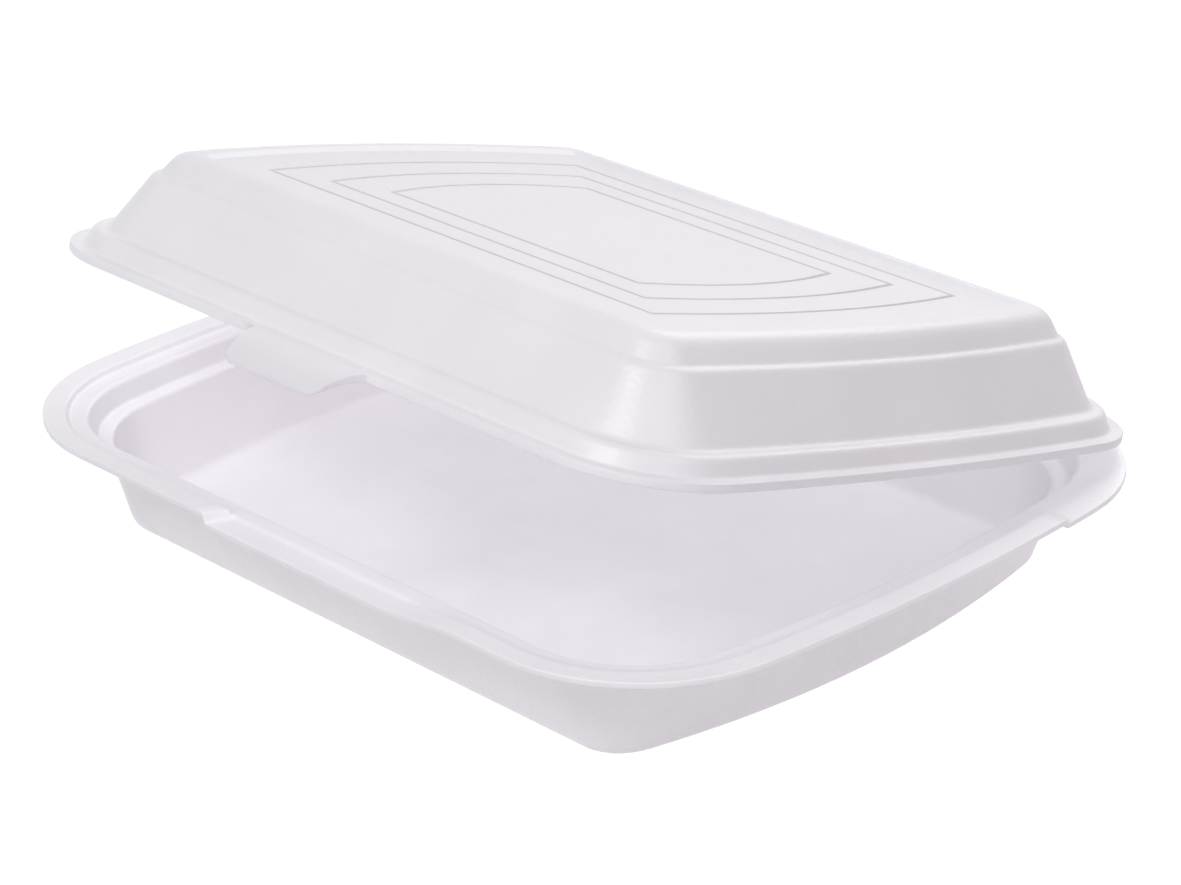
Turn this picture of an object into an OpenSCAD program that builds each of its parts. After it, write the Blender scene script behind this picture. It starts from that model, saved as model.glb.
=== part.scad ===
// Foam meal box: a tray and a lid moulded from one sheet and joined along a pressed crease.
// X runs along the crease, -Y is the opening front and Z is up.
// The origin is the middle of the tray's flat bottom. The lid is drawn partly open.

/* [Sheet] */
// Thickness of the foam sheet
sheet = 2.2; // [1.8:0.1:2.4]
// Opening angle of the lid as drawn, from closed
lid_open = 14; // [1:1:160]
// Half of the clearance that the crease leaves between tray and lid
crease_gap = 0.15; // [0.1:0.05:0.3]

/* [Tray outline] */
// Length of the tray's rim between the corner points of its straight sides
tray_length = 235; // [220:1:260]
// Depth of the tray's rim from its front edge to the crease
tray_depth = 199; // [196:1:212]
// Outward bow of each end of the tray
tray_bow = 8; // [5:0.2:10]
// Outward bow of each end at the tray's bottom
foot_bow = 11; // [8:0.2:12]
// Corner radius of the tray's rim
tray_corner = 45; // [40:1:48]
// Corner radius at the inner edge of the seat
seat_corner = 31; // [28:1:36]
// Corner radius at the top of the tray's main wall
wall_corner = 28; // [22:1:34]
// Corner radius at the tray's bottom
foot_corner = 10.5; // [8:0.5:14]

/* [Tray section] */
// Height of the seat that carries the lid, above the ground
seat_height = 30.2; // [28:0.2:36]
// Height of the raised rim above the seat
rim_raise = 1.4; // [0.8:0.1:2]
// Width of the raised rim
rim_width = 6.2; // [5:0.1:7]
// Thickness of the rim at its pressed outer edge
edge_sheet = 1.6; // [1.2:0.1:2.2]
// Inset of the seat's inner edge
seat_inset = 12; // [11:0.1:12.6]
// Height of the upper step below the seat
step_height = 5.6; // [4.5:0.1:6.5]
// Inset of the ledge's inner edge below the step
ledge_inset = 17.2; // [16.4:0.1:17.6]
// Inset of the wall's foot at the floor
floor_inset = 25.2; // [24:0.2:26]
// Inside radius between wall and floor
floor_radius = 3; // [2:0.5:5]

/* [Tab recess in the tray's front] */
// Distance from the middle to the recess's left end
recess_left = 24.6; // [23:0.2:30]
// Distance from the middle to the recess's right end
recess_right = 34; // [28:1:44]
// Length of the slope that leads out of the recess on the right
recess_ramp = 30; // [2:1:34]
// Depth of the recess below the seat at its inner edge
recess_inner_depth = 0.8; // [0.6:0.1:1.2]
// Depth of the recess below the seat at its outer edge
recess_outer_depth = 1.2; // [1:0.1:2]
// Distance behind the middle at which the raised rim ends on both ends of the tray
rim_end = 46; // [30:1:46]

/* [Lid outline] */
// Length of the lid's flange between the corner points of its straight sides
lid_length = 221; // [212:1:224]
// Depth of the lid's flange from its front edge to the crease
lid_depth = 191.8; // [186:0.2:192]
// Outward bow of each end of the lid's flange
lid_bow = 5.3; // [4:0.1:8]
// Corner radius of the lid's flange
lid_corner = 30; // [24:1:34]

/* [Lid section] */
// Width of the lid's flange
flange_width = 3.5; // [3:0.1:4]
// Height of the bead above the lid's underside
bead_height = 6.6; // [6:0.1:7]
// Inset of the ledge behind the bead
bead_inset = 8.9; // [8.5:0.1:9.5]
// Height of the wall's shoulder
shoulder_height = 22.4; // [21:0.2:23]
// Inset of the wall's shoulder
shoulder_inset = 17.8; // [17:0.2:18.4]
// Height of the crest around the top panel
crest_height = 29.2; // [28.4:0.2:30.4]
// Inset of the crest's inner edge
crest_inset = 28.8; // [28:0.2:29.6]
// Depth of the top panel below the crest
panel_drop = 1; // [0.7:0.1:2]

/* [Outlines pressed into the top panel] */
// Number of concentric outlines
line_count = 3; // [1:1:4]
// Half length of the outermost outline
line_half_length = 67.9; // [60:0.1:72]
// Half depth of the outermost outline
line_half_depth = 55.5; // [50:0.1:58]
// Distance between outlines along the length
line_step_length = 12.1; // [8:0.1:13]
// Distance between outlines along the depth
line_step_depth = 10.2; // [8:0.1:11]
// Width of each pressed line
line_width = 1.4; // [0.6:0.1:2]
// Depth of each pressed line
line_depth = 0.5; // [0.2:0.05:0.6]

/* [Closing tab] */
// Width of the tab where it leaves the flange
tab_width = 41.4; // [30:0.2:44]
// Length of the tab
tab_length = 12.8; // [8:0.2:14]
// Taper of each side of the tab
tab_taper = 4.6; // [2:0.2:6]
// Radius of the tab's outer corners
tab_radius = 4.5; // [2:0.5:5]
// Drop of the tab's outer edge below the flange
tab_drop = 5.4; // [2:0.1:5.6]

/* [Hidden] */
foam = [0.93, 0.92, 0.94];

// Points along each rounded corner of an outline
corner_steps = 6;
// Width of the small step between raised rim and seat
ridge_step = 0.9;
// How far the left end of the recess slants from its inner to its outer edge
recess_slant = 3.2;
// Half width of each step in the rim's height
edge_step = 0.5;
// Where along its reach the tab bends most, and the share of its drop that it has there
tab_fold = [0.55, 0.32];
// Width of the flange's outermost strip, from which the tab folds down
fold_step = 0.6;
// Smallest radius inside a bend of the sheet
tightest = 0.3;
// Slope of the seat and of the two ledges, as a rise over their width
seat_slope = 0.2;
tray_ledge_slope = 0.4;
lid_ledge_slope = 0.3;
// Lean of the bead's steep face, on the tray and on the lid
bead_lean = 1.9;
// Width and rise of the lip above the lid wall's shoulder
lip_width = 1.8;
lip_rise = 0.8;
// Width of the crest and of the slope from it down to the panel
crest_width = 5.4;
panel_slope = 1.8;

tray_half = [tray_length / 2, tray_depth / 2];
lid_half = [lid_length / 2, lid_depth / 2];
crease_y = tray_depth / 2;
lid_shift = crease_y - crease_gap - lid_half.y;

// How much of an inset shows on the ends and on the long sides: down to the ledge, and at the foot
tray_share = [1.05, 0.95];
foot_share = [1.1, 0.91];
lid_share = [1.015, 0.985];

function unit(v) = v / norm(v);
function turned(v, angle) = [v.x * cos(angle) - v.y * sin(angle), v.x * sin(angle) + v.y * cos(angle)];
function flat(p) = [p[0], p[1]];
function mix(from, to, share) = from + (to - from) * share;

// Arc that rounds the corner at q between p and s
function corner_arc(p, q, s, radius, steps) =
    let (u = unit(p - q), v = unit(s - q), half = acos(u * v) / 2)
    let (centre = q + unit(u + v) * radius / sin(half), start = q + u * radius / tan(half) - centre)
    let (sweep = -sign(u.x * v.y - u.y * v.x) * (180 - 2 * half))
    [for (i = [0:steps]) centre + turned(start, sweep * i / steps)];

// Section path with its corners rounded: each point is [inset, height, radius, steps]
function rounded(path) =
    let (last = len(path) - 1)
    [for (i = [0:last]) each i == 0 || i == last
        ? [flat(path[i])]
        : corner_arc(flat(path[i - 1]), flat(path[i]), flat(path[i + 1]), path[i][2], path[i][3])];

// The same path one sheet's thickness below, with radii that keep the sheet even
function normal_of(p, q) = let (d = unit(q - p)) [d.y, -d.x];
function lower_side(path) =
    let (last = len(path) - 1, at = [for (p = path) flat(p)])
    [for (i = [0:last])
        let (before = normal_of(at[max(i - 1, 0)], at[max(i, 1)]))
        let (after = normal_of(at[min(i, last - 1)], at[min(i + 1, last)]))
        let (bend = sign(before.x * after.y - before.y * after.x))
        concat(
            at[i] + sheet * (before + after) / (1 + before * after),
            [max(path[i][2] + bend * sheet, tightest), path[i][3]])];

function inner_points(list) = [for (i = [1:len(list) - 2]) list[i]];
function middle_of(list) = [for (p = list) 1] * list / len(list);
function reversed(list) = [for (i = [len(list) - 1:-1:0]) list[i]];

// Closed outline, anticlockwise from the front's left: straight sides, bowed ends, round corners
function outline(half, bow, radius, front, ends) =
    let (arc = (half.y * half.y + bow * bow) / (2 * bow), middle = half.x + bow - arc)
    let (side = half.y - radius, across = sqrt(pow(arc - radius, 2) - side * side))
    let (from = atan2(side, across), reach = middle + across)
    let (corner = [for (i = [0:corner_steps]) let (angle = mix(from, 90, i / corner_steps))
        [reach + radius * cos(angle), side + radius * sin(angle)]])
    let (end = [for (y = ends) [middle + sqrt(arc * arc - y * y), y]])
    concat(
        [for (x = front) [x, -half.y]],
        [for (p = reversed(corner)) [p.x, -p.y]],
        end,
        corner,
        [for (p = reversed(corner)) [-p.x, p.y]],
        [for (p = reversed(end)) [-p.x, p.y]],
        [for (p = corner) [-p.x, -p.y]]);

// Closed solid through a stack of rings, from the top face's middle over the edge to the underside
module shell(rings) {
    count = len(rings[0]);
    last = len(rings) - 1;
    ends = [middle_of(rings[0]), middle_of(rings[last])];
    top_middle = count * len(rings);
    sides = [for (i = [0:last - 1], j = [0:count - 1])
        let (a = i * count + j, b = i * count + (j + 1) % count)
        each [[a, b, b + count], [a, b + count, a + count]]];
    top = [for (j = [0:count - 1]) [(j + 1) % count, j, top_middle]];
    bottom = [for (j = [0:count - 1])
        [last * count + j, last * count + (j + 1) % count, top_middle + 1]];
    polyhedron(
        points = concat([for (ring = rings) each ring], ends),
        faces = concat(top, sides, bottom),
        convexity = 6);
}

// Tray: section from the outer edge to the floor, along its upper face
seat_top = seat_height - crease_gap;
tray_path = [
    [0, seat_top, 0, 0],
    [seat_inset, seat_top - seat_slope, 1.2, 2],
    [seat_inset + bead_lean, seat_top - step_height, 0.8, 2],
    [ledge_inset, seat_top - step_height - tray_ledge_slope, 1.4, 2],
    [floor_inset, sheet, floor_radius, 5],
    [floor_inset + 3 * floor_radius, sheet, 0, 0]];

recess_end = recess_right + recess_ramp;
// Points along each end of the tray, and the rim's lift at each
tray_ends = [-44, -22, 0, 22, rim_end - edge_step, rim_end + edge_step];
end_lift = [rim_raise, rim_raise, rim_raise, rim_raise, rim_raise, 0];
corner_count = corner_steps + 1;

// Lift of the rim above the seat, point by point around the outline
function rim_lift(share) =
    let (recess = -mix(recess_inner_depth, recess_outer_depth, share))
    concat(
        [rim_raise, recess, recess, rim_raise],
        [for (i = [1:corner_count]) rim_raise],
        end_lift,
        [for (i = [1:2 * corner_count]) 0],
        reversed(end_lift),
        [for (i = [1:corner_count]) rim_raise]);

function tray_radius(inset) = lookup(inset, [
    [0, tray_corner],
    [seat_inset, seat_corner],
    [ledge_inset, wall_corner],
    [floor_inset, foot_corner]]);

// How far an inset lies down the main wall, from 0 at the ledge to 1 at the foot
function wall_part(inset) = lookup(inset, [[ledge_inset, 0], [floor_inset, 1]]);

// One ring of the tray; share is how much of the rim lies inside it, or -1 on the seat and below
function tray_ring(inset, height, share = -1) =
    let (slant = recess_left + recess_slant * max(share, 0))
    let (front = [-slant - edge_step, -slant + edge_step, recess_right, recess_end])
    let (part = wall_part(inset), kept = mix(tray_share, foot_share, part))
    let (half = tray_half - [inset * kept.x, inset * kept.y + crease_gap])
    let (points = outline(half, mix(tray_bow, foot_bow, part), tray_radius(inset), front, tray_ends))
    let (lift = share < 0 ? [for (p = points) 0] : rim_lift(share))
    [for (i = [0:len(points) - 1]) [points[i].x, points[i].y, height + lift[i]]];

function rim_rings(edge, height) = [
    tray_ring(0, edge, 1),
    tray_ring(rim_width, height, 0),
    tray_ring(rim_width + ridge_step, height)];
function section_rings(path) = [for (p = inner_points(rounded(path))) tray_ring(p.x, p.y)];

module tray() {
    top = concat(rim_rings(seat_top, seat_top), section_rings(tray_path));
    under = concat(rim_rings(seat_top - edge_sheet, seat_top - sheet), section_rings(lower_side(tray_path)));
    color(foam) shell(concat(reversed(top), under));
}

// Lid: section from the flange's edge to the panel, along its outer face
lid_path = [
    [0, sheet, 0, 0],
    [flange_width, sheet, 0.7, 2],
    [flange_width + bead_lean, bead_height, 1.8, 3],
    [bead_inset, bead_height + lid_ledge_slope, 0.8, 2],
    [shoulder_inset, shoulder_height, 2.2, 3],
    [shoulder_inset + lip_width, shoulder_height + lip_rise, 0.8, 2],
    [crest_inset - crest_width, crest_height, 6, 4],
    [crest_inset, crest_height, 1.2, 2],
    [crest_inset + panel_slope, crest_height - panel_drop, 0.8, 2],
    [crest_inset + 2 * panel_slope, crest_height - panel_drop, 0, 0]];

crest_corner = 2;
crest_bow = 7;
line_bow = 5.9;
line_corner = 0.5;
// Points along each end of the lid, as shares of its half depth
lid_stations = [-0.75, -0.4, 0, 0.4, 0.75];

// Half of the tab's plan as [distance from the middle, reach], from its root to its tip
tab_half = rounded([
    [tab_width / 2, 0, 0, 0],
    [tab_width / 2 - tab_taper, tab_length, tab_radius, 4],
    [0, tab_length, 0, 0]]);
tab_points = [for (i = [0:len(tab_half) - 2]) tab_half[i]];
lid_front = concat([for (p = tab_points) -p.x], [for (p = reversed(tab_points)) p.x]);
tab_reach = concat([for (p = tab_points) p.y], [for (p = reversed(tab_points)) p.y]);

function lid_ends(half, radius) = [for (share = lid_stations) share * (half.y - radius)];
function placed(points, height) = [for (p = points) [p.x, p.y + lid_shift, height + crease_gap]];

// One ring of the lid's flange and walls
function lid_ring(inset, height) =
    let (share = min(inset / crest_inset, 1), radius = mix(lid_corner, crest_corner, share))
    let (half = lid_half - [inset * lid_share.x, inset * lid_share.y])
    placed(outline(half, mix(lid_bow, crest_bow, share), radius, lid_front, lid_ends(half, radius)), height);

// The flange's outer strip, carried out and down along a part of the tab's reach
function tab_ring(inset, height, part) =
    let (ring = lid_ring(inset, height))
    [for (i = [0:len(ring) - 1])
        let (share = i < len(tab_reach) ? part * tab_reach[i] / tab_length : 0)
        let (drop = lookup(share, [[0, 0], tab_fold, [1, 1]]))
        ring[i] - [0, share * tab_length, drop * tab_drop]];
function tab_rings(height) = [
    tab_ring(0, height, 1),
    tab_ring(fold_step / 2, height, tab_fold[0]),
    lid_ring(fold_step, height)];

// One ring of the top panel, off the middle of a pressed line
function line_ring(index, offset, height) =
    let (inner = [line_half_length, line_half_depth] - index * [line_step_length, line_step_depth])
    let (half = inner + [offset, offset])
    placed(outline(half, line_bow, line_corner, lid_front, lid_ends(half, line_corner)), height);

function line_rings(index, height) = [
    line_ring(index, line_width / 2, height),
    line_ring(index, line_width / 6, height - line_depth),
    line_ring(index, -line_width / 6, height - line_depth),
    line_ring(index, -line_width / 2, height)];

function wall_rings(path) = [for (p = inner_points(rounded(path))) lid_ring(p.x, p.y)];

module closed_lid() {
    panel = crest_height - panel_drop;
    top = concat(
        tab_rings(sheet),
        wall_rings(lid_path),
        [for (i = [0:line_count - 1]) each line_rings(i, panel)]);
    under = concat(
        tab_rings(0),
        wall_rings(lower_side(lid_path)));
    shell(concat(reversed(top), under));
}

module lid() {
    color(foam)
        translate([0, crease_y, seat_height])
            rotate([-lid_open, 0, 0])
                translate([0, -crease_y, 0])
                    closed_lid();
}

tray();
lid();
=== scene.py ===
import math
import bpy
import numpy as np
from mathutils import Matrix, Vector


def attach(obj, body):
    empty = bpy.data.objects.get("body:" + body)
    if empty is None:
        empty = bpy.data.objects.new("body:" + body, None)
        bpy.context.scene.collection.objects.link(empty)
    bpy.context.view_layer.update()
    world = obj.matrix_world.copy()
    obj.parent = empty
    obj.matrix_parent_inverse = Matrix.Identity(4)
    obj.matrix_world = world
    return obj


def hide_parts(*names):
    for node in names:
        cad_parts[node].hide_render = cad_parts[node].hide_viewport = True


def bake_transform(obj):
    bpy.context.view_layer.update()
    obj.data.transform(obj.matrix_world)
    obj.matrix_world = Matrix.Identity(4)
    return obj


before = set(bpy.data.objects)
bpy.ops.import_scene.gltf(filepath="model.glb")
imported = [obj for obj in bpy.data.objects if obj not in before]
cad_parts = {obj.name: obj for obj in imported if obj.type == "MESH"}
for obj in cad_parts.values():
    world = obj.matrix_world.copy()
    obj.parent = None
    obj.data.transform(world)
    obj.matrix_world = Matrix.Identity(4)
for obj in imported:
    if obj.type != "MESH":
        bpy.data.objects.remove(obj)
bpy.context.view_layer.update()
MM = 0.001

# Sizes in millimetres, the same as the solids have
SHEET = 2.2
LID_OPEN = 14.0
GAP = 0.15
CREASE_Y, CREASE_Z = 99.5, 30.2
TRAY_HALF = np.array([117.5, CREASE_Y - GAP])
TRAY_BOW, FOOT_BOW = 8.0, 11.0
TRAY_SHARE, FOOT_SHARE = np.array([1.05, 0.95]), np.array([1.1, 0.91])
TRAY_RADII = [45.0, 31.0, 28.0, 10.5]
SEAT_TOP = CREASE_Z - GAP
SEAT_INSET, LEDGE_INSET, FLOOR_INSET, FLOOR_RADIUS = 12.0, 17.2, 25.2, 3.0
STEP_HEIGHT, BEAD_LEAN = 5.6, 1.9
SEAT_SLOPE, TRAY_LEDGE_SLOPE, LID_LEDGE_SLOPE = 0.2, 0.4, 0.3
RIM_RAISE, RIM_WIDTH, RIM_END, RIDGE_STEP = 1.4, 6.2, 46.0, 0.9
EDGE_SHEET = 1.6
RECESS_LEFT, RECESS_RIGHT, RECESS_RAMP, RECESS_SLANT = 24.6, 34.0, 30.0, 3.2
RECESS_IN, RECESS_OUT = 0.8, 1.2
LID_HALF = np.array([110.5, 95.9])
LID_SHARE = np.array([1.015, 0.985])
LID_SHIFT = CREASE_Y - GAP - LID_HALF[1]
LID_BOW, CREST_BOW, LINE_BOW = 5.3, 7.0, 5.9
LID_CORNER, CREST_CORNER, LINE_CORNER = 30.0, 2.0, 0.5
FLANGE_WIDTH, BEAD_HEIGHT, BEAD_INSET = 3.5, 6.6, 8.9
SHOULDER_INSET, SHOULDER_HEIGHT, LIP_WIDTH, LIP_RISE = 17.8, 22.4, 1.8, 0.8
CREST_INSET, CREST_HEIGHT, CREST_WIDTH = 28.8, 29.2, 5.4
PANEL_DROP, PANEL_SLOPE = 1.0, 1.8
TAB_WIDTH, TAB_LENGTH, TAB_TAPER, TAB_RADIUS, TAB_DROP = 41.4, 12.8, 4.6, 4.5, 5.4
LINE_FIRST, LINE_STEP, LINE_COUNT = np.array([67.9, 55.5]), np.array([12.1, 10.2]), 3
LINE_WIDTH, LINE_DEPTH = 1.4, 0.5

# Roundings that are finer than the solids have, and the steps that draw them
CUT_RADIUS = 0.25
CUT_DEGREES, CUT_UNDER_DEGREES = (90, 67, 45, 22, 0), (90, 60, 30, 0)
TIGHTEST = 0.45
SUPPORT = 0.22
STEP = 0.55
CORNER_STEPS = 14


# Section paths

def unit(v):
    return v / np.linalg.norm(v)


def corner_arc(p, q, s, radius, steps):
    """Arc that rounds the corner at q, with a support point on either side of it."""
    u, v = unit(p - q), unit(s - q)
    half = math.acos(max(-1.0, min(1.0, float(u @ v)))) / 2
    tangent = radius / math.tan(half)
    centre = q + unit(u + v) * radius / math.sin(half)
    start = q + u * tangent - centre
    sweep = -np.sign(u[0] * v[1] - u[1] * v[0]) * (math.pi - 2 * half)
    points = []
    for i in range(steps + 1):
        c, k = math.cos(sweep * i / steps), math.sin(sweep * i / steps)
        points.append(centre + np.array([start[0] * c - start[1] * k, start[0] * k + start[1] * c]))
    return [q + u * (tangent + SUPPORT)] + points + [q + v * (tangent + SUPPORT)]


def rounded(path):
    at = [np.array(p[:2], float) for p in path]
    out = [at[0]]
    for i in range(1, len(path) - 1):
        out += corner_arc(at[i - 1], at[i], at[i + 1], path[i][2], path[i][3])
    return out + [at[-1]]


def normal_of(p, q):
    d = unit(q - p)
    return np.array([d[1], -d[0]])


def lower_side(path):
    """The path one sheet's thickness below, with radii that keep the sheet even."""
    at = [np.array(p[:2], float) for p in path]
    last = len(path) - 1
    out = []
    for i in range(last + 1):
        a = normal_of(at[max(i - 1, 0)], at[max(i, 1)])
        b = normal_of(at[min(i, last - 1)], at[min(i + 1, last)])
        bend = np.sign(a[0] * b[1] - a[1] * b[0])
        p = at[i] + SHEET * (a + b) / (1 + a @ b)
        out.append((p[0], p[1], max(path[i][2] + bend * SHEET, TIGHTEST), path[i][3]))
    return out


# Plan outlines

def outline(half, bow, radius, front, ends):
    """Closed outline from the front's left: straight long sides, bowed ends and round corners."""
    arc = (half[1] ** 2 + bow ** 2) / (2 * bow)
    middle = half[0] + bow - arc
    side = half[1] - radius
    across = math.sqrt((arc - radius) ** 2 - side ** 2)
    start = math.atan2(side, across)
    reach = middle + across
    angles = start + (math.pi / 2 - start) * np.arange(CORNER_STEPS + 1) / CORNER_STEPS
    corner = np.stack([reach + radius * np.cos(angles), side + radius * np.sin(angles)], 1)
    y = ends(arc * math.sin(start))
    end = np.stack([middle + np.sqrt(arc ** 2 - y ** 2), y], 1)
    x = front(reach)
    left, near, both = np.array([-1, 1]), np.array([1, -1]), np.array([-1, -1])
    return np.vstack([
        np.stack([x, np.full(len(x), -half[1])], 1),
        corner[::-1] * near, end, corner,
        corner[::-1] * left, end[::-1] * left, corner * both])


def spread(anchors, counts):
    """Places from anchor to anchor, with a number of steps in each stretch, without the two ends."""
    out = []
    for a, b, n in zip(anchors[:-1], anchors[1:], counts):
        out += list(a + (b - a) * np.arange(n) / n)
    return np.array(out[1:])


def smooth_step(t):
    t = np.clip(t, 0.0, 1.0)
    return t * t * (3 - 2 * t)


# Meshes

CAP_RINGS = 6


def add_mesh(name, points, faces):
    mesh = bpy.data.meshes.new(name)
    mesh.from_pydata((points * MM).tolist(), [], faces)
    mesh.validate()
    mesh.polygons.foreach_set("use_smooth", [True] * len(mesh.polygons))
    mesh.update()
    obj = bpy.data.objects.new(name, mesh)
    bpy.context.scene.collection.objects.link(obj)
    return obj


def shell(name, rings, mark, marks):
    """Closed mesh through a stack of rings; mark names a point attribute, set ring by ring."""
    def towards(ring):
        mid = ring.mean(0)
        return [mid + (ring - mid) * (1 - (k + 1) / (CAP_RINGS + 1)) for k in range(CAP_RINGS)]

    marks = [marks[0]] * CAP_RINGS + list(marks) + [marks[-1]] * CAP_RINGS
    rings = towards(rings[0])[::-1] + list(rings) + towards(rings[-1])
    n = len(rings[0])
    faces = [tuple(range(n))]
    for i in range(len(rings) - 1):
        for j in range(n):
            a, b = i * n + j, i * n + (j + 1) % n
            faces.append((a, a + n, b + n, b))
    faces.append(tuple(range((len(rings) - 1) * n, len(rings) * n))[::-1])
    obj = add_mesh(name, np.vstack(rings), faces)
    layer = obj.data.attributes.new(mark, "FLOAT", "POINT")
    layer.data.foreach_set("value", np.concatenate([np.broadcast_to(np.float32(v), n) for v in marks]))
    return obj


# Tray: section as inset from the edge, height, radius and steps of each corner

TRAY_PATH = [
    (0, SEAT_TOP, 0, 0),
    (SEAT_INSET, SEAT_TOP - SEAT_SLOPE, 1.6, 6),
    (SEAT_INSET + BEAD_LEAN, SEAT_TOP - STEP_HEIGHT, 1.2, 6),
    (LEDGE_INSET, SEAT_TOP - STEP_HEIGHT - TRAY_LEDGE_SLOPE, 1.8, 6),
    (FLOOR_INSET, SHEET, FLOOR_RADIUS, 10),
    (FLOOR_INSET + 3 * FLOOR_RADIUS, SHEET, 0, 0)]
# Steps between the places where the front and the ends change, and rings across the rim
FRONT_STEPS, END_STEPS = (14, 6, 24, 12, 8), (14, 12, 6, 4)
RIM_PLACES = (0.5, 2.0, 3.5, 5.0)
RIDGE_START, RIDGE_SPREAD = RIM_WIDTH - 0.35, RIDGE_STEP + 0.45
RIDGE_PLACES = (0.0, 0.18, 0.34, 0.5, 0.66, 0.82, 1.0)
UNDER_PLACES = (1.2, 3.0, 5.0, RIM_WIDTH)
ON_FRONT = 0.01


def tray_ring(inset, height, lifted, share):
    """One ring: lifted is its part of the rim's lift, share 1 at the outer edge and 0 at the ridge."""
    part = np.interp(inset, [LEDGE_INSET, FLOOR_INSET], [0.0, 1.0])
    half = TRAY_HALF - inset * (TRAY_SHARE + (FOOT_SHARE - TRAY_SHARE) * part)
    radius = np.interp(inset, [0, SEAT_INSET, LEDGE_INSET, FLOOR_INSET], TRAY_RADII)
    left = RECESS_LEFT + RECESS_SLANT * share
    ramp_end = RECESS_RIGHT + RECESS_RAMP

    def front(reach):
        anchors = [-reach, -left - STEP, -left + STEP, RECESS_RIGHT, ramp_end, reach]
        return spread(anchors, FRONT_STEPS)

    def ends(limit):
        return spread([-limit, 0, RIM_END - STEP, RIM_END + STEP, limit], END_STEPS)

    plan = outline(half, TRAY_BOW + (FOOT_BOW - TRAY_BOW) * part, radius, front, ends)
    x, y = plan[:, 0], plan[:, 1]
    recess = -(RECESS_IN + (RECESS_OUT - RECESS_IN) * share)
    lift = RIM_RAISE * (1 - smooth_step((y - RIM_END + STEP) / (2 * STEP)))
    inside = smooth_step((x + left + STEP) / (2 * STEP))
    inside = inside * (1 - smooth_step((x - RECESS_RIGHT) / RECESS_RAMP))
    inside = np.where(y < -half[1] + ON_FRONT, inside, 0.0)
    lift = lift + (recess - lift) * inside
    return np.column_stack([x, y, height + lifted * lift])


def cut_edge(degrees):
    """Distance in from a cut edge and distance from its face, along the edge's small rounding."""
    return [(CUT_RADIUS * (1 - math.sin(a)), CUT_RADIUS * (1 - math.cos(a))) for a in np.radians(degrees)]


def rim_share(inset):
    return max(0.0, 1 - inset / RIM_WIDTH)


def rim_top():
    """Rings over the rim: its cut edge, the flat rim and the small step down to the seat."""
    out = [tray_ring(d, SEAT_TOP - drop, 1.0, rim_share(d)) for d, drop in cut_edge(CUT_DEGREES)]
    out += [tray_ring(d, SEAT_TOP, 1.0, rim_share(d)) for d in RIM_PLACES]
    for t in RIDGE_PLACES:
        d = RIDGE_START + t * RIDGE_SPREAD
        out.append(tray_ring(d, SEAT_TOP, 1.0 - float(smooth_step(t)), rim_share(d)))
    return out


def rim_under():
    """Rings under the rim, from its thinner edge to the full sheet."""
    edge, under = SEAT_TOP - EDGE_SHEET, SEAT_TOP - SHEET
    out = [tray_ring(d, edge + rise, 1.0, rim_share(d)) for d, rise in cut_edge(CUT_UNDER_DEGREES)]
    for d in UNDER_PLACES:
        out.append(tray_ring(d, edge + (under - edge) * d / RIM_WIDTH, 1.0, rim_share(d)))
    out.append(tray_ring(RIM_WIDTH + RIDGE_STEP, under, 0.0, 0.0))
    return out


def build_tray():
    top = rim_top() + [tray_ring(p[0], p[1], 0.0, 0.0) for p in rounded(TRAY_PATH)[1:-1]]
    wall = [tray_ring(p[0], p[1], 0.0, 0.0) for p in rounded(lower_side(TRAY_PATH))[1:-1]]
    under = rim_under()
    marks = [0.0] * (len(top) + len(under)) + [1.0] * len(wall)
    return shell("tray_foam", top[::-1] + under + wall, "coarse", marks)


# Lid: section in the same form, from the flange's edge to the panel

LID_PATH = [
    (0, SHEET, 0, 0),
    (FLANGE_WIDTH, SHEET, 0.9, 5),
    (FLANGE_WIDTH + BEAD_LEAN, BEAD_HEIGHT, 2.2, 8),
    (BEAD_INSET, BEAD_HEIGHT + LID_LEDGE_SLOPE, 2.0, 8),
    (SHOULDER_INSET, SHOULDER_HEIGHT, 2.6, 7),
    (SHOULDER_INSET + LIP_WIDTH, SHOULDER_HEIGHT + LIP_RISE, 1.6, 6),
    (CREST_INSET - CREST_WIDTH, CREST_HEIGHT, 6, 12),
    (CREST_INSET, CREST_HEIGHT, 1.4, 7),
    (CREST_INSET + PANEL_SLOPE, CREST_HEIGHT - PANEL_DROP, 1.0, 6),
    (CREST_INSET + 2 * PANEL_SLOPE, CREST_HEIGHT - PANEL_DROP, 0, 0)]
TAB_SIDE_PLACES, TAB_TIP_PLACES, TAB_ARC_STEPS = (0.0, 0.06, 0.2, 0.45, 0.75), (7.5, 3.5), 9


def tab_outline():
    """The tab's plan as x places and reach beyond the flange, from its left root to its right."""
    root = np.array([TAB_WIDTH / 2, 0.0])
    corner = np.array([TAB_WIDTH / 2 - TAB_TAPER, TAB_LENGTH])
    tip = np.array([0.0, TAB_LENGTH])
    arc = corner_arc(root, corner, tip, TAB_RADIUS, TAB_ARC_STEPS)
    half = [root + (arc[0] - root) * t for t in TAB_SIDE_PLACES] + arc
    half += [np.array([x, TAB_LENGTH]) for x in TAB_TIP_PLACES]
    mirror = np.array([-1, 1])
    return np.array([p * mirror for p in half] + [tip] + half[::-1])


TAB = tab_outline()
# Points on the front before the tab and steps along an end; the tab's painted shade, thinner tip and bend
TAB_START, LID_END_STEPS = 11, 30
TAB_SHADE, TAB_THINNED, TAB_BEND = 0.3, 1.0, 1.9
TAB_REACHES = (0.93, 0.75, 0.5, 0.3, 0.16, 0.07, 0.0)
TAB_UNDER_REACHES = (0.93, 0.6, 0.3, 0.12, 0.0)
FOLD_START, FOLD_WIDTH = 0.4, 0.5
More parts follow.
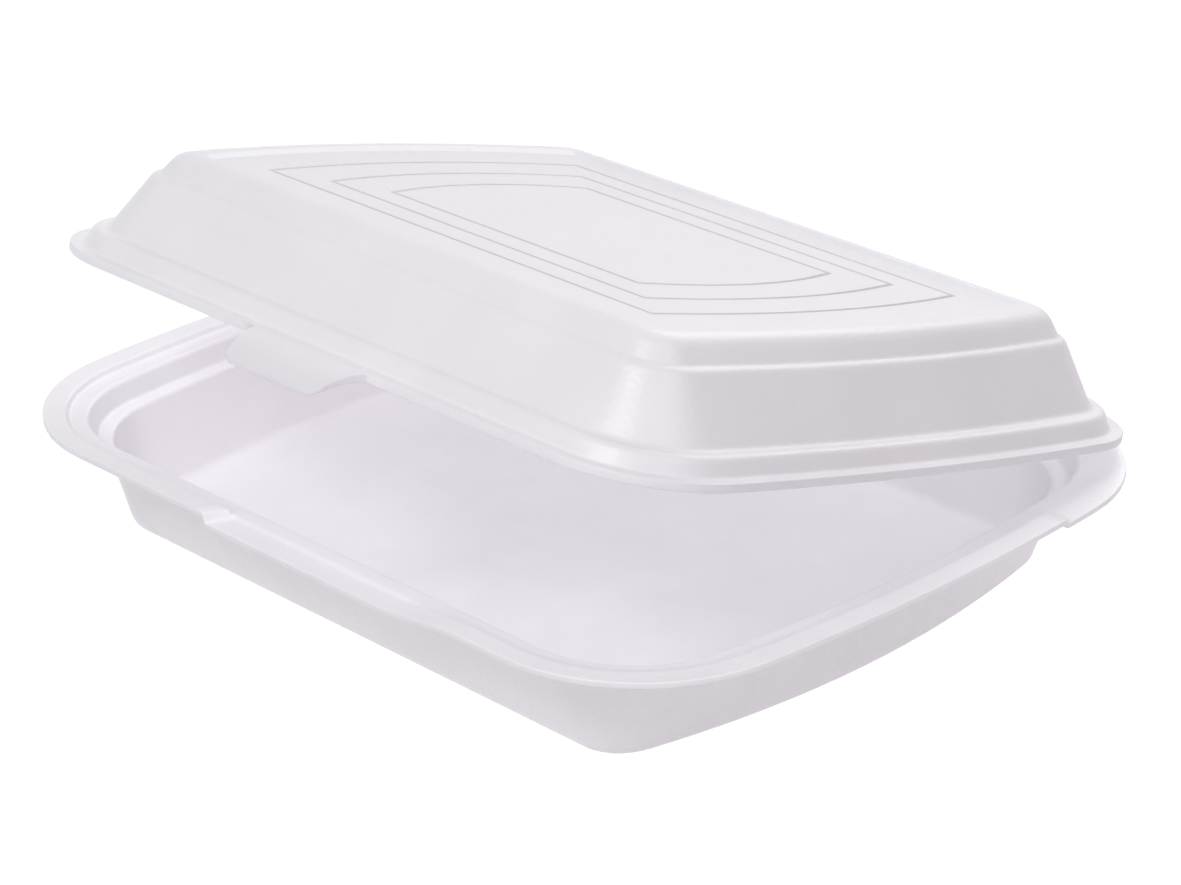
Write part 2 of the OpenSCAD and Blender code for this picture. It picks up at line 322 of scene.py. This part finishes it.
# Places across a groove line in half widths, and the part of a half width where its painted shade begins
LINE_PLACES = (1.5, 1.0, 0.8, 0.6, 0.35, 0.0, -0.35, -0.6, -0.8, -1.0, -1.5)
LINE_BLUR = 0.25


def lid_plan(half, bow, radius):
    def front(reach):
        left = spread([-reach, TAB[0, 0]], [TAB_START + 1])
        right = spread([TAB[-1, 0], reach], [TAB_START + 1])
        return np.concatenate([left, TAB[:, 0], right])

    def ends(limit):
        return spread([-limit, limit], [LID_END_STEPS])

    return outline(half, bow, radius, front, ends)


def lid_place(plan, height):
    return np.column_stack([plan[:, 0], plan[:, 1] + LID_SHIFT, np.full(len(plan), height + GAP)])


def lid_ring(inset, height):
    share = min(inset / CREST_INSET, 1.0)
    bow = LID_BOW + (CREST_BOW - LID_BOW) * share
    radius = LID_CORNER + (CREST_CORNER - LID_CORNER) * share
    return lid_place(lid_plan(LID_HALF - inset * LID_SHARE, bow, radius), height)


def tab_ring(inset, height, reach, thinned):
    """A ring of the flange's outer strip, carried out along the tab and raised by what it is thinned."""
    ring = lid_ring(inset, height)
    out = np.zeros(len(ring))
    out[TAB_START:TAB_START + len(TAB)] = TAB[:, 1] * reach
    ring[:, 1] -= out
    ring[:, 2] -= TAB_DROP * (out / TAB_LENGTH) ** TAB_BEND
    ring[:, 2] += thinned * smooth_step(out / TAB_LENGTH)
    return ring


def tab_mark(reach):
    """How much painted shade darkens the folded tab, point by point around a ring that has a part of its
    reach.
    """
    mark = np.zeros(len(lid_ring(0.0, 0.0)))
    mark[TAB_START:TAB_START + len(TAB)] = TAB_SHADE * smooth_step(TAB[:, 1] * reach / TAB_LENGTH)
    return mark


def flange(face, side, reaches, thinned):
    """Rings over the flange's cut edge and along the tab; side is 1 on top and -1 underneath."""
    rings, marks = [], []
    for d, drop in cut_edge(CUT_DEGREES):
        rings.append(tab_ring(d, face - side * drop, 1.0 - d / TAB_LENGTH, thinned))
        marks.append(tab_mark(1.0))
    for s in reaches:
        rings.append(tab_ring(FOLD_START + FOLD_WIDTH * (1 - s), face, s, thinned))
        marks.append(tab_mark(s))
    return rings, marks


def line_ring(half, offset, height):
    return lid_place(lid_plan(half + offset, LINE_BOW, LINE_CORNER), height)


def panel_lines():
    """Rings through the outlines grooved into the panel, with how far each lies in a line, which sets its
    painted shade.
    """
    panel = CREST_HEIGHT - PANEL_DROP
    rings, pressed = [], []
    for half in [LINE_FIRST - i * LINE_STEP for i in range(LINE_COUNT)]:
        for t in LINE_PLACES:
            dip = 0.5 * (1 + math.cos(math.pi * min(1.0, abs(t))))
            rings.append(line_ring(half, t * LINE_WIDTH / 2, panel - LINE_DEPTH * dip))
            pressed.append(float(smooth_step((1.0 - abs(t)) / LINE_BLUR)))
    return rings, pressed


def opened(rings):
    a = math.radians(LID_OPEN)
    out = []
    for ring in rings:
        y, z = ring[:, 1] - CREASE_Y, ring[:, 2]
        back, up = y * math.cos(a) + z * math.sin(a), z * math.cos(a) - y * math.sin(a)
        out.append(np.column_stack([ring[:, 0], CREASE_Y + back, CREASE_Z + up]))
    return out


def build_lid():
    lines, pressed = panel_lines()
    top, top_marks = flange(SHEET, 1, TAB_REACHES, 0.0)
    under, under_marks = flange(0.0, -1, TAB_UNDER_REACHES, TAB_THINNED)
    outer = [lid_ring(p[0], p[1]) for p in rounded(LID_PATH)[1:-1]]
    inner = [lid_ring(p[0], p[1]) for p in rounded(lower_side(LID_PATH))[1:-1]]
    rings = (top + outer + lines)[::-1] + under + inner
    # The marks are painted shade on the panel's grooves and on the folded tab
    marks = (top_marks + [0.0] * len(outer) + pressed)[::-1] + under_marks + [0.0] * len(inner)
    return shell("lid_foam", opened(rings), "pressed", marks)


# Crease: the thin pressed web between tray and lid, from its lower half's section

WEB_LOWER = [(-1.2, -0.75), (-0.5, -0.42), (-0.12, -0.2), (0.06, 0.0)]
WEB_SHEET, WEB_SHIFT, WEB_BEND = 0.3, 0.18, 0.12
WEB_HALF, WEB_PLACES = 64, 65


def build_crease():
    a = math.radians(LID_OPEN)
    upper = []
    for y, z in WEB_LOWER[::-1][1:]:
        upper.append((y * math.cos(a) - z * math.sin(a), -y * math.sin(a) - z * math.cos(a)))
    inner = WEB_LOWER + upper
    loop = inner + [(y + WEB_SHEET, z) for y, z in inner[::-1]]
    n = len(loop)
    places = np.linspace(-WEB_HALF, WEB_HALF, WEB_PLACES)
    points = [(x, CREASE_Y - WEB_SHIFT + y, CREASE_Z + z) for x in places for y, z in loop]
    faces = [tuple(range(n))[::-1]]
    for i in range(len(places) - 1):
        for j in range(n):
            p, q = i * n + j, i * n + (j + 1) % n
            faces.append((p, q, q + n, p + n))
    faces.append(tuple(range((len(places) - 1) * n, len(places) * n)))
    return add_mesh("crease_web", np.array(points), faces)


# Materials

SKIN_DARK, SKIN_LIGHT = (0.873, 0.855, 0.876, 1), (0.903, 0.885, 0.906, 1)
# Painted shade: the tint that darkens the panel's grooves and the folded tab
PAINTED_SHADE_TINT = (0.72, 0.7, 0.74, 1)
SKIN_ROUGHNESS = (0.3, 0.42)
SKIN_IOR, SKIN_SPECULAR = 1.46, 0.5
CLOUD_SCALE, CLOUD_RANGE = 42, (0.3, 0.7)
GRAIN_SCALE, CELL_SCALE = 900, 620
GRAIN_STRENGTH, GRAIN_HEIGHT = 0.13, 0.0004
CELL_STRENGTH, CELL_HEIGHT = (0.12, 0.34), 0.0005


def foam(name):
    """White foam sheet: satin skin, faint clouding, fine grain, coarse cells, and painted shade that
    darkens the grooved lines and the folded tab.
    """
    m = bpy.data.materials.new(name)
    m.use_nodes = True
    nodes, links = m.node_tree.nodes, m.node_tree.links
    nodes.clear()
    out = nodes.new("ShaderNodeOutputMaterial")
    shader = nodes.new("ShaderNodeBsdfPrincipled")
    links.new(shader.outputs[0], out.inputs[0])
    place = nodes.new("ShaderNodeTexCoord")

    cloud = nodes.new("ShaderNodeTexNoise")
    cloud.inputs["Scale"].default_value = CLOUD_SCALE
    cloud.inputs["Detail"].default_value = 2
    links.new(place.outputs["Object"], cloud.inputs["Vector"])
    tone = nodes.new("ShaderNodeValToRGB")
    tone.color_ramp.elements[0].position = CLOUD_RANGE[0]
    tone.color_ramp.elements[0].color = SKIN_DARK
    tone.color_ramp.elements[1].position = CLOUD_RANGE[1]
    tone.color_ramp.elements[1].color = SKIN_LIGHT
    links.new(cloud.outputs["Fac"], tone.inputs["Fac"])
    # Painted shade on the panel's grooves and the folded tab, read from the point attribute
    pressed = nodes.new("ShaderNodeAttribute")
    pressed.attribute_name = "pressed"
    dark = nodes.new("ShaderNodeMix")
    dark.data_type = "RGBA"
    dark.blend_type = "MULTIPLY"
    links.new(pressed.outputs["Fac"], dark.inputs["Factor"])
    links.new(tone.outputs["Color"], dark.inputs["A"])
    dark.inputs["B"].default_value = PAINTED_SHADE_TINT
    links.new(dark.outputs["Result"], shader.inputs["Base Color"])

    shader.inputs["IOR"].default_value = SKIN_IOR
    shader.inputs["Specular IOR Level"].default_value = SKIN_SPECULAR
    rough = nodes.new("ShaderNodeMapRange")
    rough.inputs["To Min"].default_value = SKIN_ROUGHNESS[0]
    rough.inputs["To Max"].default_value = SKIN_ROUGHNESS[1]
    links.new(cloud.outputs["Fac"], rough.inputs["Value"])
    links.new(rough.outputs[0], shader.inputs["Roughness"])

    grain = nodes.new("ShaderNodeTexNoise")
    grain.inputs["Scale"].default_value = GRAIN_SCALE
    grain.inputs["Detail"].default_value = 1
    links.new(place.outputs["Object"], grain.inputs["Vector"])
    fine = nodes.new("ShaderNodeBump")
    fine.inputs["Strength"].default_value = GRAIN_STRENGTH
    fine.inputs["Distance"].default_value = GRAIN_HEIGHT
    links.new(grain.outputs["Fac"], fine.inputs["Height"])
    cells = nodes.new("ShaderNodeTexVoronoi")
    cells.inputs["Scale"].default_value = CELL_SCALE
    links.new(place.outputs["Object"], cells.inputs["Vector"])
    coarse = nodes.new("ShaderNodeAttribute")
    coarse.attribute_name = "coarse"
    relief = nodes.new("ShaderNodeMapRange")
    relief.inputs["To Min"].default_value = CELL_STRENGTH[0]
    relief.inputs["To Max"].default_value = CELL_STRENGTH[1]
    links.new(coarse.outputs["Fac"], relief.inputs["Value"])
    bumps = nodes.new("ShaderNodeBump")
    bumps.inputs["Distance"].default_value = CELL_HEIGHT
    links.new(relief.outputs[0], bumps.inputs["Strength"])
    links.new(cells.outputs["Distance"], bumps.inputs["Height"])
    links.new(fine.outputs[0], bumps.inputs["Normal"])
    links.new(bumps.outputs[0], shader.inputs["Normal"])
    return m


tray = build_tray()
lid = build_lid()
crease = build_crease()
tray_foam = foam("foam_of_tray")
lid_foam = foam("foam_of_lid")
tray.data.materials.append(tray_foam)
lid.data.materials.append(lid_foam)
crease.data.materials.append(tray_foam)

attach(tray, "tray")
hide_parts("tray")
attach(lid, "lid")
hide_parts("lid")
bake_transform(crease)

# Floor and world: pale, and white where they are seen directly or mirrored

FLOOR_HALF, FLOOR_GAP = 6.0, 0.0002
FLOOR_TONE = (0.86, 0.86, 0.86, 1)
# The floor's own white, near the box and far from it, and the distances where it changes
FLOOR_GLOW, FAR_GLOW = 0.4, 1.0
GLOW_START, GLOW_END = 0.32, 0.9
WORLD_SOFT = 0.21
WORLD_TINT = (1.0, 0.965, 0.985, 1)


def seen_rays(nodes, links):
    """1 on rays that show the background: from the camera, mirrored or through glass."""
    path = nodes.new("ShaderNodeLightPath")
    total = path.outputs["Is Camera Ray"]
    for kind in ("Is Glossy Ray", "Is Transmission Ray"):
        either = nodes.new("ShaderNodeMath")
        either.operation = "MAXIMUM"
        links.new(total, either.inputs[0])
        links.new(path.outputs[kind], either.inputs[1])
        total = either.outputs[0]
    return total


def build_floor():
    s = FLOOR_HALF
    mesh = bpy.data.meshes.new("floor")
    mesh.from_pydata([(-s, -s, 0), (s, -s, 0), (s, s, 0), (-s, s, 0)], [], [(0, 1, 2, 3)])
    floor = bpy.data.objects.new("floor", mesh)
    floor.location.z = -FLOOR_GAP
    bpy.context.scene.collection.objects.link(floor)
    m = bpy.data.materials.new("floor_white")
    m.use_nodes = True
    nodes, links = m.node_tree.nodes, m.node_tree.links
    nodes.clear()
    out = nodes.new("ShaderNodeOutputMaterial")
    diffuse = nodes.new("ShaderNodeBsdfDiffuse")
    diffuse.inputs["Color"].default_value = FLOOR_TONE
    glow = nodes.new("ShaderNodeEmission")
    amount = nodes.new("ShaderNodeMath")
    amount.operation = "MULTIPLY"
    links.new(seen_rays(nodes, links), amount.inputs[0])
    place = nodes.new("ShaderNodeTexCoord")
    distance = nodes.new("ShaderNodeVectorMath")
    distance.operation = "LENGTH"
    links.new(place.outputs["Object"], distance.inputs[0])
    spread_out = nodes.new("ShaderNodeMapRange")
    spread_out.inputs["From Min"].default_value = GLOW_START
    spread_out.inputs["From Max"].default_value = GLOW_END
    spread_out.inputs["To Min"].default_value = FLOOR_GLOW
    spread_out.inputs["To Max"].default_value = FAR_GLOW
    links.new(distance.outputs["Value"], spread_out.inputs["Value"])
    links.new(spread_out.outputs[0], amount.inputs[1])
    links.new(amount.outputs[0], glow.inputs["Strength"])
    both = nodes.new("ShaderNodeAddShader")
    links.new(diffuse.outputs[0], both.inputs[0])
    links.new(glow.outputs[0], both.inputs[1])
    links.new(both.outputs[0], out.inputs[0])
    mesh.materials.append(m)


def build_world():
    world = bpy.data.worlds.new("studio")
    bpy.context.scene.world = world
    world.use_nodes = True
    nodes, links = world.node_tree.nodes, world.node_tree.links
    nodes.clear()
    out = nodes.new("ShaderNodeOutputWorld")
    soft = nodes.new("ShaderNodeBackground")
    soft.inputs["Color"].default_value = WORLD_TINT
    soft.inputs["Strength"].default_value = WORLD_SOFT
    white = nodes.new("ShaderNodeBackground")
    white.inputs["Color"].default_value = (1, 1, 1, 1)
    white.inputs["Strength"].default_value = 1.0
    choice = nodes.new("ShaderNodeMixShader")
    links.new(seen_rays(nodes, links), choice.inputs[0])
    links.new(soft.outputs[0], choice.inputs[1])
    links.new(white.outputs[0], choice.inputs[2])
    links.new(choice.outputs[0], out.inputs[0])


build_floor()
build_world()

# Lamps

LAMP_DISTANCE = 1.6
LAMP_AIM = Vector((0, 0, 0.03))
COOL, ROSE, PLAIN = (0.955, 0.985, 1.0), (1.0, 0.905, 0.98), (0.98, 1.0, 0.99)


def lamp(name, azimuth, elevation, size, power, shadow, colour):
    """A round soft light that looks at the box; azimuth 0 is the front and 90 the right end."""
    data = bpy.data.lights.new(name, "AREA")
    data.shape = "DISK"
    data.size = size
    data.energy = power
    data.color = colour
    data.use_shadow = shadow
    a, e = math.radians(azimuth), math.radians(elevation)
    d = Vector((math.sin(a) * math.cos(e), -math.cos(a) * math.cos(e), math.sin(e)))
    o = bpy.data.objects.new(name, data)
    o.location = LAMP_AIM + d * LAMP_DISTANCE
    o.rotation_euler = d.to_track_quat("Z", "Y").to_euler()
    bpy.context.scene.collection.objects.link(o)
    return o


lamp("key", 3, 47, 0.42, 4.0, True, COOL)
lamp("back_light", 200, 35, 1.1, 7.8, True, COOL)
lamp("front_fill", 0, 50, 1.1, 7.7, False, COOL)
lamp("corner_fill", 46, 20, 1.1, 1.8, False, ROSE)
lamp("end_fill", 90, 50, 1.1, 5.0, False, ROSE)

# Light that the thin foam would let through to the inside of the tray
tray_glow = lamp("tray_glow", 90, 40, 1.1, 3.2, True, PLAIN)
only_tray = bpy.data.collections.new("only_tray")
only_tray.objects.link(tray)
tray_glow.light_linking.receiver_collection = only_tray
tray_glow.light_linking.blocker_collection = only_tray

# Camera, fitted to the photograph: focal length and aim in pixels of a picture that is WIDTH wide

FOCAL, WIDTH, SENSOR = 3615.0, 1181.0, 36.0
AZIMUTH, ELEVATION, ROLL = (math.radians(v) for v in (46.06, 23.76, -0.61))
AIM_RIGHT, AIM_UP = 15.89, -43.77
CAMERA_TARGET, CAMERA_DISTANCE = Vector((0, 0, 0.0392)), 0.9218
CLIP_START, CLIP_END = 0.05, 40


def build_camera():
    flat = math.cos(ELEVATION)
    away = Vector((math.sin(AZIMUTH) * flat, -math.cos(AZIMUTH) * flat, math.sin(ELEVATION)))
    level = Vector((math.cos(AZIMUTH), math.sin(AZIMUTH), 0))
    rise = away.cross(level)
    right = level * math.cos(ROLL) + rise * math.sin(ROLL)
    up = rise * math.cos(ROLL) - level * math.sin(ROLL)
    z_axis = (away - right * (AIM_RIGHT / FOCAL) - up * (AIM_UP / FOCAL)).normalized()
    x_axis = (right - z_axis * right.dot(z_axis)).normalized()
    y_axis = z_axis.cross(x_axis)
    turn = Matrix((x_axis, y_axis, z_axis)).transposed().to_4x4()
    data = bpy.data.cameras.new("camera")
    data.sensor_fit = "HORIZONTAL"
    data.sensor_width = SENSOR
    data.lens = FOCAL * SENSOR / WIDTH
    data.clip_start, data.clip_end = CLIP_START, CLIP_END
    camera = bpy.data.objects.new("camera", data)
    camera.matrix_world = Matrix.Translation(CAMERA_TARGET + away * CAMERA_DISTANCE) @ turn
    bpy.context.scene.collection.objects.link(camera)
    bpy.context.scene.camera = camera


build_camera()
bpy.context.scene.view_settings.view_transform = "Standard"

bpy.context.view_layer.update()
